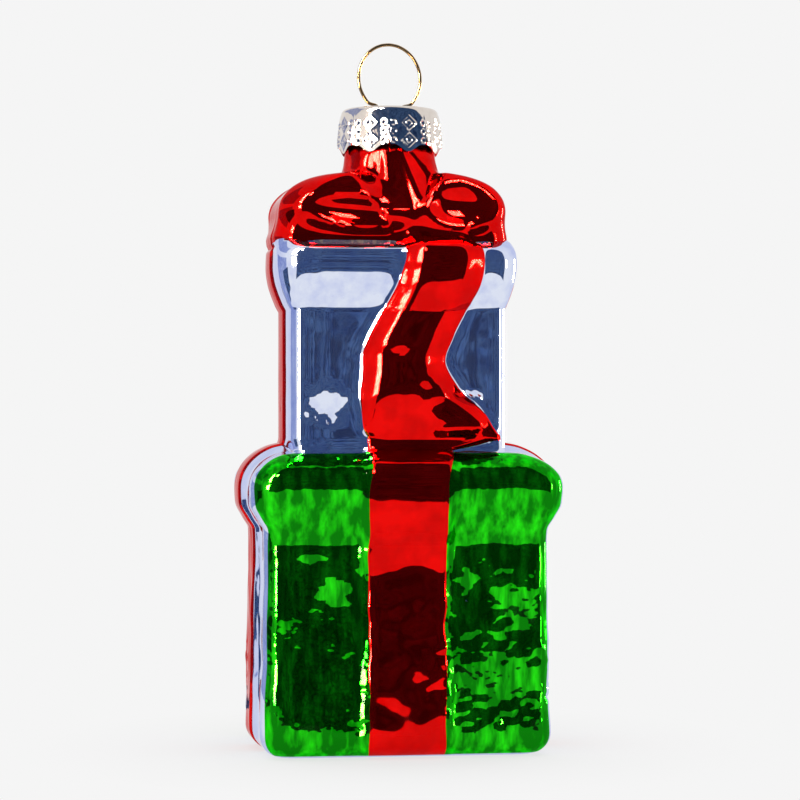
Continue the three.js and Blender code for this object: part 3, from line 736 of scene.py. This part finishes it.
# Flat spots in the blown wall: middle along X, level, half width, half height, how far it leans forward per
# millimetre of its height, and how far its outline strays. The first is in the silver panel and the next in
# its lid. Then come three in the tail, two in the left green panel and three in the right one.
FACETS = [
    (-12.4, 55, 3.3, 2.9, 0.2, 0.45),
    (-10.8, 72.4, 1.6, 0.5, -0.35, 0),
    (-1.4, 63.4, 2.0, 1.3, 0.3, 0.3),
    (3.2, 58.0, 1.6, 1.5, 0.3, 0.3),
    (8.6, 53.4, 4.4, 3.2, -0.26, 0.3),
    (-11.6, 26.0, 2.6, 3.2, 0.12, 0.6),
    (-15.0, 31.0, 3.0, 1.2, 0.2, 0.6),
    (13.2, 12.8, 9.0, 6.0, 0.075, 0.6),
    (16.8, 23.5, 3.6, 6.5, 0.065, 0.6),
    (9.0, 27.5, 1.5, 2.5, 0.1, 0.6),
]
FACET_WARP_SIZE = 1.35
# Where a flat spot's edge starts, and how wide it is, as shares of the spot's half size
FACET_EDGE = 0.85
FACET_EDGE_WIDTH = 0.3


def facet_relief():
    """The flat spots, each of which leans forward or back."""
    x = plain[:, :HALF_TURN, 0]
    z = plain[:, :HALF_TURN, 2]
    places = plain[:, :HALF_TURN].reshape(-1, 3)
    warp = np.array([noise.noise(Vector(place) / FACET_WARP_SIZE) for place in places]).reshape(x.shape)
    total = np.zeros(x.shape)
    for middle, level, across, rise, lean, stray in FACETS:
        out = np.hypot((x - middle) / across, (z - level) / rise) + stray * warp
        total += lean * (z - level) * (1 - eased((out - FACET_EDGE) / FACET_EDGE_WIDTH))
    return total


def shape_relief():
    """All relief below the bow. It runs out at the base and on the bow."""
    low = eased(row_z[:, None] / BASE_ROUNDING)
    high = 1 - eased(bow_share / BOW_SHOULDER)
    return low * high * (front_ribbon_relief() + side_relief() + face_relief() + facet_relief())


# The bow's two loops as they show on its face: middle along X, level, half width, half height, and tilt
BOW_LOOPS = [
    (-7.8, 85.0, 7.4, 2.3, 0.07),
    (8.8, 85.9, 5.6, 3.2, 0.0),
]
# Height of a loop's lip, hollow and swell. Widths are shares of the loop's half size.
LOOP_LIP = 0.55
LOOP_LIP_WIDTH = 0.35
LOOP_HOLLOW = 1.5
LOOP_SWELL = 0.8
LOOP_SWELL_REACH = 1.7
# How quickly the loops fade in from the foot of the bow and out to the neck
LOOP_FADE = 0.6
# How far the top of the bow's front and back stands out from the plain dome
BOW_FULL_LEVELS = [0, 83, 86.5, 89, 90.6, BOW_TOP, ABOVE]
BOW_FULLNESS = [0, 0, 0.4, 1.1, 1.3, 0.6, 0]
# The knot's half width at its foot and at the neck
KNOT_NARROW = 1.4
KNOT_WIDE = 6.2
KNOT_FOOT = 82.2
# Share of the knot's width that is all knot, and the share over which it fades into the loops
KNOT_CORE = 0.55
KNOT_FADE = 0.75
# How far it stands out on its way up
KNOT_LEVELS = [0, 81.5, 84.5, 88, BOW_TOP, ABOVE]
KNOT_STANDS = [0, 0, 1.3, 1.3, 0, 0]
# Levels between which it runs straight, over the crease between bow and neck
KNOT_DRAWN_FROM = 85
KNOT_DRAWN_TO = 96


def on_knot(x, z):
    """1 on the knot, which widens from its foot up to the neck, and 0 beside it."""
    share = np.clip((z - KNOT_FOOT) / (BOW_TOP - KNOT_FOOT), 0, 1)
    width = blend(KNOT_NARROW, KNOT_WIDE, share)
    return 1 - eased((np.abs(x - NECK_SHIFT) / width - KNOT_CORE) / KNOT_FADE)


def bow_relief(points, normals):
    """Two hollow loops with raised lips, and the knot that the neck runs down into."""
    x = points[:, :HALF_TURN, 0]
    z = points[:, :HALF_TURN, 2]
    face = np.zeros(x.shape)
    for centre, level, across, rise, tilt in BOW_LOOPS:
        out = np.hypot((x - centre) / across, (z - level + tilt * (x - centre)) / rise)
        face += LOOP_LIP * np.exp(-((out - 1) / LOOP_LIP_WIDTH) ** 2)
        face += LOOP_SWELL * np.exp(-(out / LOOP_SWELL_REACH) ** 4)
        face -= LOOP_HOLLOW * np.maximum(0, 1 - out ** 2)
    to_front = np.abs(normals[:, :HALF_TURN, 1])
    hold = to_front * np.sin(math.pi * bow_share) ** LOOP_FADE
    full = to_front * up_wall(BOW_FULL_LEVELS, BOW_FULLNESS)
    return blend(hold * face + full, up_wall(KNOT_LEVELS, KNOT_STANDS), on_knot(x, z))


def draw_knot(points):
    """Draws the knot straight from the bow's face to the neck, where the plain form has a crease."""
    low = row_at(KNOT_DRAWN_FROM)
    high = row_at(KNOT_DRAWN_TO)
    span = points[low:high + 1]
    step = np.linalg.norm(np.diff(span, axis=0), axis=-1)
    way = np.concatenate([np.zeros((1, step.shape[1])), np.cumsum(step, axis=0)])
    share = (way / way[-1])[..., None]
    held = on_knot(span[..., 0], span[..., 2])[..., None]
    points[low:high + 1] = blend(span, blend(span[0], span[-1], share), held)


# Slow waves in the blown wall: size and height. They are strongest in the lower box, and each has its own
# place in the noise.
WAVES = [(9, 0.2), (4, 0.09)]
WAVE_SPACING = 31.7
WAVE_PLACE = (11.3, 5.9)
UPPER_WAVES = 0.12


def waviness(points):
    """The slow waves at each point, calmer above the lower box."""
    flat = points.reshape(-1, 3)
    total = np.zeros(len(flat))
    for number, (size, height) in enumerate(WAVES):
        offset = Vector((WAVE_SPACING * number, *WAVE_PLACE))
        total += [height * noise.noise(Vector(point) / size + offset) for point in flat]
    calm = up_wall([0, LOWER_BODY_HEIGHT, LOWER_TOP, ABOVE], [1, 1, UPPER_WAVES, UPPER_WAVES])
    return calm * total.reshape(points.shape[:2])


def moved_out(points, normals, amount):
    return points + normals * np.asarray(amount)[..., None]


plain = plain_points()
plain_normals = grid_normals(plain)
half_relief = shape_relief() + bow_relief(plain, plain_normals)
base_hold = eased(row_z[:, None] / BASE_ROUNDING)
relief = np.hstack([half_relief, half_relief]) + base_hold * waviness(plain)
glass = moved_out(plain, plain_normals, relief)
draw_knot(glass)
glass_normals = grid_normals(glass)

FIRST_LACQUER_ROW = row_at(LACQUER_START)
LOWER_TOP_ROW = row_at(LOWER_TOP)
UPPER_TOP_ROW = row_at(UPPER_TOP)
NECK_LACQUER_ROW = row_at(NECK_TOP - LACQUER_STOP)


def wall_faces(loop, offset):
    """Joins a loop of outer points, anticlockwise seen from outside, to the inner points under it."""
    following = np.roll(loop, -1)
    return np.stack([loop + offset, following + offset, following, loop], axis=1)


def shell(outer, inner, closed):
    """A closed thin shell between two grids of the same size."""
    count, columns = outer.shape[:2]
    offset = count * columns
    number = np.arange(offset).reshape(count, columns)
    faces = [grid_faces(count, columns, closed), grid_faces(count, columns, closed, offset, True)]
    if closed:
        loops = [number[0], number[-1][::-1]]
    else:
        loops = [np.concatenate([number[0, :-1], number[:-1, -1], number[-1, :0:-1], number[:0:-1, 0]])]
    faces += [wall_faces(loop, offset) for loop in loops]
    points = np.concatenate([outer.reshape(-1, 3), inner.reshape(-1, 3)])
    return points, np.concatenate(faces).tolist()


# Edges sharper than this stay sharp in the shading
EDGE_ANGLE = math.radians(48)


def make_piece(name, points, faces, material, body, node):
    mesh = bpy.data.meshes.new(name)
    mesh.from_pydata((np.asarray(points) * MM).tolist(), [], faces)
    mesh.materials.append(material)
    mesh.shade_smooth()
    mesh.set_sharp_from_angle(angle=EDGE_ANGLE)
    piece = bpy.data.objects.new(name, mesh)
    bpy.context.scene.collection.objects.link(piece)
    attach(piece, body)
    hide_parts(node)


# The clear gloss over a mirror waves less, and more slowly, than the mirror under it
GLOSS_WAVES = {"size": 4, "depth": 0.03, "detail": 1.0}
LACQUER_GLOSS = 0.06
BARE_GLASS_GLOSS = 0.8


def mirror_material(name, shades, mottle, spread, ripples, gloss):
    """A mirror behind a clear gloss: two shades, the noise between them and its range, and its ripples."""
    material, tree = new_material(name)
    place = textured(tree)
    share = between(tree, noise_of(tree, place, **mottle), *spread)
    surface = add_node(tree, "ShaderNodeBsdfPrincipled",
                       values={"Metallic": 0.97, "Roughness": 0.04, "Specular Tint": colour(shades[1]),
                               "Coat Weight": gloss, "Coat Roughness": 0.02},
                       links={"Base Color": mixed(tree, shades, share),
                              "Normal": bumps(tree, place, **ripples),
                              "Coat Normal": bumps(tree, place, **GLOSS_WAVES)})
    show(tree, surface)
    return material


def red_lacquer_material():
    """Transparent red lacquer brushed over silvered glass: a deep red mirror, a little uneven."""
    return mirror_material("red_lacquer_over_mirror", shades=("#f40805", "#d80604"),
                           mottle={"size": 5, "detail": 3.0}, spread=(0.35, 0.65),
                           ripples={"size": 3.2, "depth": 0.035, "detail": 1.0}, gloss=LACQUER_GLOSS)


def green_lacquer_material():
    """Transparent green lacquer over silvered glass, rippled, and streaked upwards where it ran thin."""
    return mirror_material("green_lacquer_over_mirror", shades=("#067f05", "#26ee14"),
                           mottle={"size": 1.6, "detail": 3.0, "stretch": (1, 1, 4)}, spread=(0.42, 0.72),
                           ripples={"size": 3.2, "depth": 0.2, "detail": 2.0}, gloss=LACQUER_GLOSS)


def silvered_glass_material():
    """Clear blown glass over chemical silvering: a cool mirror, mottled where the silver is thin."""
    return mirror_material("silvered_blown_glass", shades=("#e2e9fb", "#c0caf2"),
                           mottle={"size": 2.6, "detail": 4.0}, spread=(0.4, 0.8),
                           ripples={"size": 3.2, "depth": 0.04, "detail": 1.0}, gloss=BARE_GLASS_GLOSS)


def silvering_material():
    """The back of the silvering, as it shows inside the neck: dull grey metal."""
    material, tree = new_material("chemical_silvering")
    tone = noise_of(tree, textured(tree), size=1.5, detail=3.0)
    surface = add_node(tree, "ShaderNodeBsdfPrincipled", values={"Metallic": 0.9, "Roughness": 0.35},
                       links={"Base Color": mixed(tree, ("#a9a79f", "#7f7a70"), tone)})
    show(tree, surface)
    return material


def bare_metal(name, shades, mottle, marks, roughness):
    """Metal between two shades, with small marks in its polish."""
    material, tree = new_material(name)
    place = textured(tree)
    tone = noise_of(tree, place, **mottle)
    surface = add_node(tree, "ShaderNodeBsdfPrincipled", values={"Metallic": 1.0, "Roughness": roughness},
                       links={"Base Color": mixed(tree, shades, tone),
                              "Normal": bumps(tree, place, **marks)})
    show(tree, surface)
    return material


def stamped_cap_material():
    """Bright stamped sheet with a faint champagne wash."""
    return bare_metal("stamped_bright_aluminium", shades=("#e6ded6", "#d8cdc4"),
                      mottle={"size": 1.2, "detail": 3.0},
                      marks={"size": 0.6, "depth": 0.01, "detail": 2.0}, roughness=0.06)


def brass_wire_material():
    """Drawn brass spring wire, polished, with faint pits in it."""
    return bare_metal("drawn_brass", shades=("#b89668", "#8a683c"), mottle={"size": 0.8, "detail": 2.0},
                      marks={"size": 0.15, "depth": 0.004, "detail": 1.0}, roughness=0.16)


# Share of the way from the middle of the base to its edge at each ring of the underside
BASE_RINGS = [0.02, 0.3, 0.6, 0.8, 0.93]
INNER_ROW_STEP = 4


def with_base(sheet):
    """Adds rings under a sheet that close its bottom towards the middle, domed up a little."""
    middle = sheet[0].mean(axis=0)
    rings = [blend(middle, sheet[0], share) + [0, 0, BASE_HOLLOW * (1 - share ** 2)]
             for share in BASE_RINGS]
    return np.concatenate([rings, sheet])


def closed_vessel(outer, inner):
    """A vessel from two walls that both close at the bottom and meet round the mouth."""
    outer, inner = with_base(outer), with_base(inner)
    columns = outer.shape[1]
    offset = len(outer) * columns
    number = np.arange(offset + len(inner) * columns).reshape(-1, columns)
    mouth = number[len(outer) - 1]
    lip = number[-1]
    faces = [grid_faces(len(outer), columns, True), grid_faces(len(inner), columns, True, offset, True)]
    faces.append(np.stack([mouth, np.roll(mouth, -1), np.roll(lip, -1), lip], axis=1))
    faces = np.concatenate(faces).tolist()
    faces += [number[0][::-1].tolist(), number[len(outer)].tolist()]
    return np.concatenate([outer.reshape(-1, 3), inner.reshape(-1, 3)]), faces


def inner_wall(depth):
    """The plain form this far inside the wall, with only some of its rows."""
    last = len(row_z) - 1
    kept = np.append(np.arange(0, last, INNER_ROW_STEP), last)
    return moved_out(plain, plain_normals, np.full(plain.shape[:2], -depth))[kept]


def blow_glass():
    points, faces = closed_vessel(glass, inner_wall(GLASS_WALL))
    make_piece("blown_glass", points, faces, silvered_glass_material(), "ornament", "glass_body")


def silver_inside():
    outer = inner_wall(GLASS_WALL)[:, ::2]
    inner = inner_wall(GLASS_WALL + SILVERING)[:, ::2]
    points, faces = closed_vessel(outer, inner)
    make_piece("silver_lining", points, faces, silvering_material(), "ornament",
               "mirror_lining")


def coat_thickness(count, columns, closed):
    """Full in the middle and thin along every edge of the coat."""
    row = np.minimum(np.arange(count), np.arange(count)[::-1])[:, None] * ROW_SPACING
    column = np.minimum(np.arange(columns), np.arange(columns)[::-1])[None, :] * ROW_SPACING
    inside = np.broadcast_to(row, (count, columns)) if closed else np.minimum(row, column)
    return blend(LACQUER_EDGE, LACQUER, eased(inside / LACQUER_TAPER))


def lacquer_coat(name, node, material, row_range, column_range):
    """A coat over a patch of the glass, or right round it where its columns start and end alike."""
    first_row, last_row = row_range
    first, last = column_range
    closed = first == last
    columns = np.arange(FULL_TURN) if closed else np.arange(first, last + 1) % FULL_TURN
    under = glass[first_row:last_row + 1][:, columns]
    normals = glass_normals[first_row:last_row + 1][:, columns]
    outer = moved_out(under, normals, coat_thickness(*under.shape[:2], closed))
    points, faces = shell(outer, under, closed)
    make_piece(name, points, faces, material, "ornament", node)


def paint_coats():
    red = red_lacquer_material()
    green = green_lacquer_material()
    half = HALF_TURN
    ribbon_rows = (FIRST_LACQUER_ROW, UPPER_TOP_ROW)
    box_rows = (FIRST_LACQUER_ROW, LOWER_TOP_ROW)
    lacquer_coat("bow_coat", "bow_lacquer", red, (UPPER_TOP_ROW, NECK_LACQUER_ROW), (0, 0))
    ribbons = {
        "front": (LEFT_EDGE, RIGHT_EDGE),
        "back": (half + LEFT_EDGE, half + RIGHT_EDGE),
        "right": (half - SIDE_EDGE, half + SIDE_EDGE),
        "left": (FULL_TURN - SIDE_EDGE, FULL_TURN + SIDE_EDGE),
    }
    for side, columns in ribbons.items():
        lacquer_coat(side + "_ribbon_coat", side + "_ribbon_lacquer", red, ribbon_rows,
                     columns)
    panels = {
        "front_left": (GREEN_EDGE, LEFT_EDGE),
        "front_right": (RIGHT_EDGE, half - GREEN_EDGE),
        "back_right": (half + GREEN_EDGE, half + LEFT_EDGE),
        "back_left": (half + RIGHT_EDGE, FULL_TURN - GREEN_EDGE),
    }
    for side, columns in panels.items():
        lacquer_coat("green_coat_" + side, "green_lacquer_" + side, green, box_rows,
                     columns)


# Crown cap
PETAL_CELLS = 44
CAP_CELLS = CAP_PETALS * PETAL_CELLS
CAP_SKIRT_ROWS = 44
CAP_INNER_RADIUS = NECK_RADIUS + SOLID_LACQUER + CAP_CLEARANCE
# Rings of its top, as shares of the way from the middle to the shoulder
CAP_RINGS = [0.02, 0.35, 0.7, 0.9]
# How far from a slit a petal starts to run down to its tip, and over what distance
TIP_START = 0.8
TIP_RUN = 2.2
SLIT_HALF_WIDTH = 0.12


def ridge(gap, width):
    """The cross-section of a line pressed into the sheet."""
    return eased(1 - np.abs(gap) / width)


def emboss(u, v):
    """Two stacked lozenges with small lozenges in them, and three ring-shaped dots on either side."""
    pattern = np.zeros(np.broadcast(u, v).shape)
    for level in (-0.5, 0.5):
        rise = v - level * LOZENGE_HEIGHT
        span = np.abs(u) / (LOZENGE_WIDTH / 2) + np.abs(rise) / (LOZENGE_HEIGHT / 2)
        for size, width in LOZENGE_LINES:
            pattern = np.maximum(pattern, ridge(span - size, width))
    for level in (-1, 0, 1):
        ring = np.hypot(np.abs(u) - DOT_PLACE, v - level * DOT_SPACING)
        pattern = np.maximum(pattern, ridge(ring - DOT_RADIUS, DOT_LINE))
    return pattern


def cap_sheet(thickness, raised):
    """One side of the cap's sheet, from the middle of its top over the shoulder to the edge of the skirt."""
    radius = CAP_INNER_RADIUS + thickness
    round_radius = CAP_SHOULDER - CAP_SHEET + thickness
    cell = np.arange(CAP_CELLS)
    petal = (cell % PETAL_CELLS + 0.5) / PETAL_CELLS
    angle = CAP_TURN - math.pi / 2 + 2 * math.pi * (cell + 0.5) / CAP_CELLS
    bulge = CAP_PETAL_FOLD * (2 * petal - 1) ** 2
    shoulder = CAP_TOP - CAP_SHOULDER
    rings = [(share * (radius - round_radius), shoulder + round_radius) for share in CAP_RINGS]
    rings += [(radius - round_radius * (1 - math.sin(turn)), shoulder + round_radius * math.cos(turn))
              for turn in (0, *ROUND_ANGLES)]
    top = [np.stack([out * np.cos(angle), out * np.sin(angle), np.full(CAP_CELLS, z)], axis=-1)
           for out, z in rings]
    across = (petal - 0.5) * 2 * math.pi * radius / CAP_PETALS
    from_slit = np.minimum(petal, 1 - petal) * 2 * math.pi * radius / CAP_PETALS
    tip = CAP_POINT * eased((from_slit - TIP_START) / TIP_RUN)
    slit = CAP_SLIT * np.clip(1 - from_slit / SLIT_HALF_WIDTH, 0, 1)
    edge = CAP_TOP - CAP_SKIRT - tip + slit
    skirt = []
    middle = CAP_TOP - (CAP_SHOULDER + CAP_SKIRT + CAP_POINT) / 2
    for step in range(1, CAP_SKIRT_ROWS + 1):
        share = step / CAP_SKIRT_ROWS
        height = blend(shoulder, edge, share)
        plain_out = radius + bulge * math.sqrt(share) + CAP_FLARE * share
        out = plain_out + raised * emboss(across, height - middle)
        skirt.append(np.stack([out * np.cos(angle), out * np.sin(angle), height], axis=-1))
    return np.array(top + skirt) + [NECK_SHIFT, 0, 0]


def stamp_cap():
    outer = cap_sheet(CAP_SHEET, CAP_EMBOSS)
    inner = cap_sheet(0, 0)
    columns = CAP_CELLS
    offset = len(outer) * columns
    number = np.arange(2 * offset).reshape(-1, columns)
    rim = number[len(outer) - 1]
    faces = [grid_faces(len(outer), columns, True, 0, True), grid_faces(len(inner), columns, True, offset)]
    faces.append(wall_faces(rim, offset))
    faces = np.concatenate(faces).tolist()
    faces += [number[0].tolist(), number[len(outer)][::-1].tolist()]
    points = np.concatenate([outer.reshape(-1, 3), inner.reshape(-1, 3)])
    make_piece("stamped_cap", points, faces, stamped_cap_material(), "cap", "crown_cap")


# Hanging loop
WIRE_POINTS = 260
WIRE_BEVEL = 6
LOOP_KNOTS = 25


def wire_route():
    """From one spread leg up through its hole, round the loop, and down the other hole."""
    centre = CAP_TOP + LOOP_STANDOFF + LOOP_RADIUS * math.cos(LOOP_OPENING)
    hole = HOLE_SPACING / 2
    foot = LEG_SPREAD / 2
    leg = [
        (foot, CAP_TOP - LEG_LENGTH),
        (hole + LEG_BEND * (foot - hole), CAP_TOP - LEG_LENGTH / 2),
        (hole, CAP_TOP - CAP_SHEET - 2 * WIRE_DIAMETER),
        (hole, CAP_TOP + LOOP_STANDOFF / 2),
    ]
    angles = np.linspace(LOOP_OPENING, 2 * math.pi - LOOP_OPENING, LOOP_KNOTS)
    loop = [(-LOOP_RADIUS * math.sin(angle), centre - LOOP_RADIUS * math.cos(angle)) for angle in angles]
    bends = np.array([(-across, height) for across, height in leg] + loop + leg[::-1])
    place = np.concatenate([[0], np.cumsum(np.linalg.norm(np.diff(bends, axis=0), axis=1))])
    fine = smooth_curve(np.linspace(0, place[-1], WIRE_POINTS), place, bends)
    x = fine[:, 0] * math.cos(LOOP_TURN) + NECK_SHIFT
    return np.stack([x, fine[:, 0] * math.sin(LOOP_TURN), fine[:, 1]], axis=1)


def bend_wire():
    route = wire_route() * MM
    data = bpy.data.curves.new("hanging_loop", "CURVE")
    data.dimensions = "3D"
    data.bevel_depth = WIRE_DIAMETER / 2 * MM
    data.bevel_resolution = WIRE_BEVEL
    data.use_fill_caps = True
    spline = data.splines.new("POLY")
    spline.points.add(len(route) - 1)
    spline.points.foreach_set("co", np.append(route, np.ones((len(route), 1)), axis=1).ravel())
    data.materials.append(brass_wire_material())
    wire = bpy.data.objects.new("hanging_loop", data)
    bpy.context.scene.collection.objects.link(wire)
    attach(wire, "hanger")
    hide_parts("hanger_wire")


place_camera()
light_world()
lay_floor()
dress_stage()
blow_glass()
silver_inside()
paint_coats()
light_bow_alone()
stamp_cap()
bend_wire()

bpy.context.scene.view_settings.view_transform = "Standard"
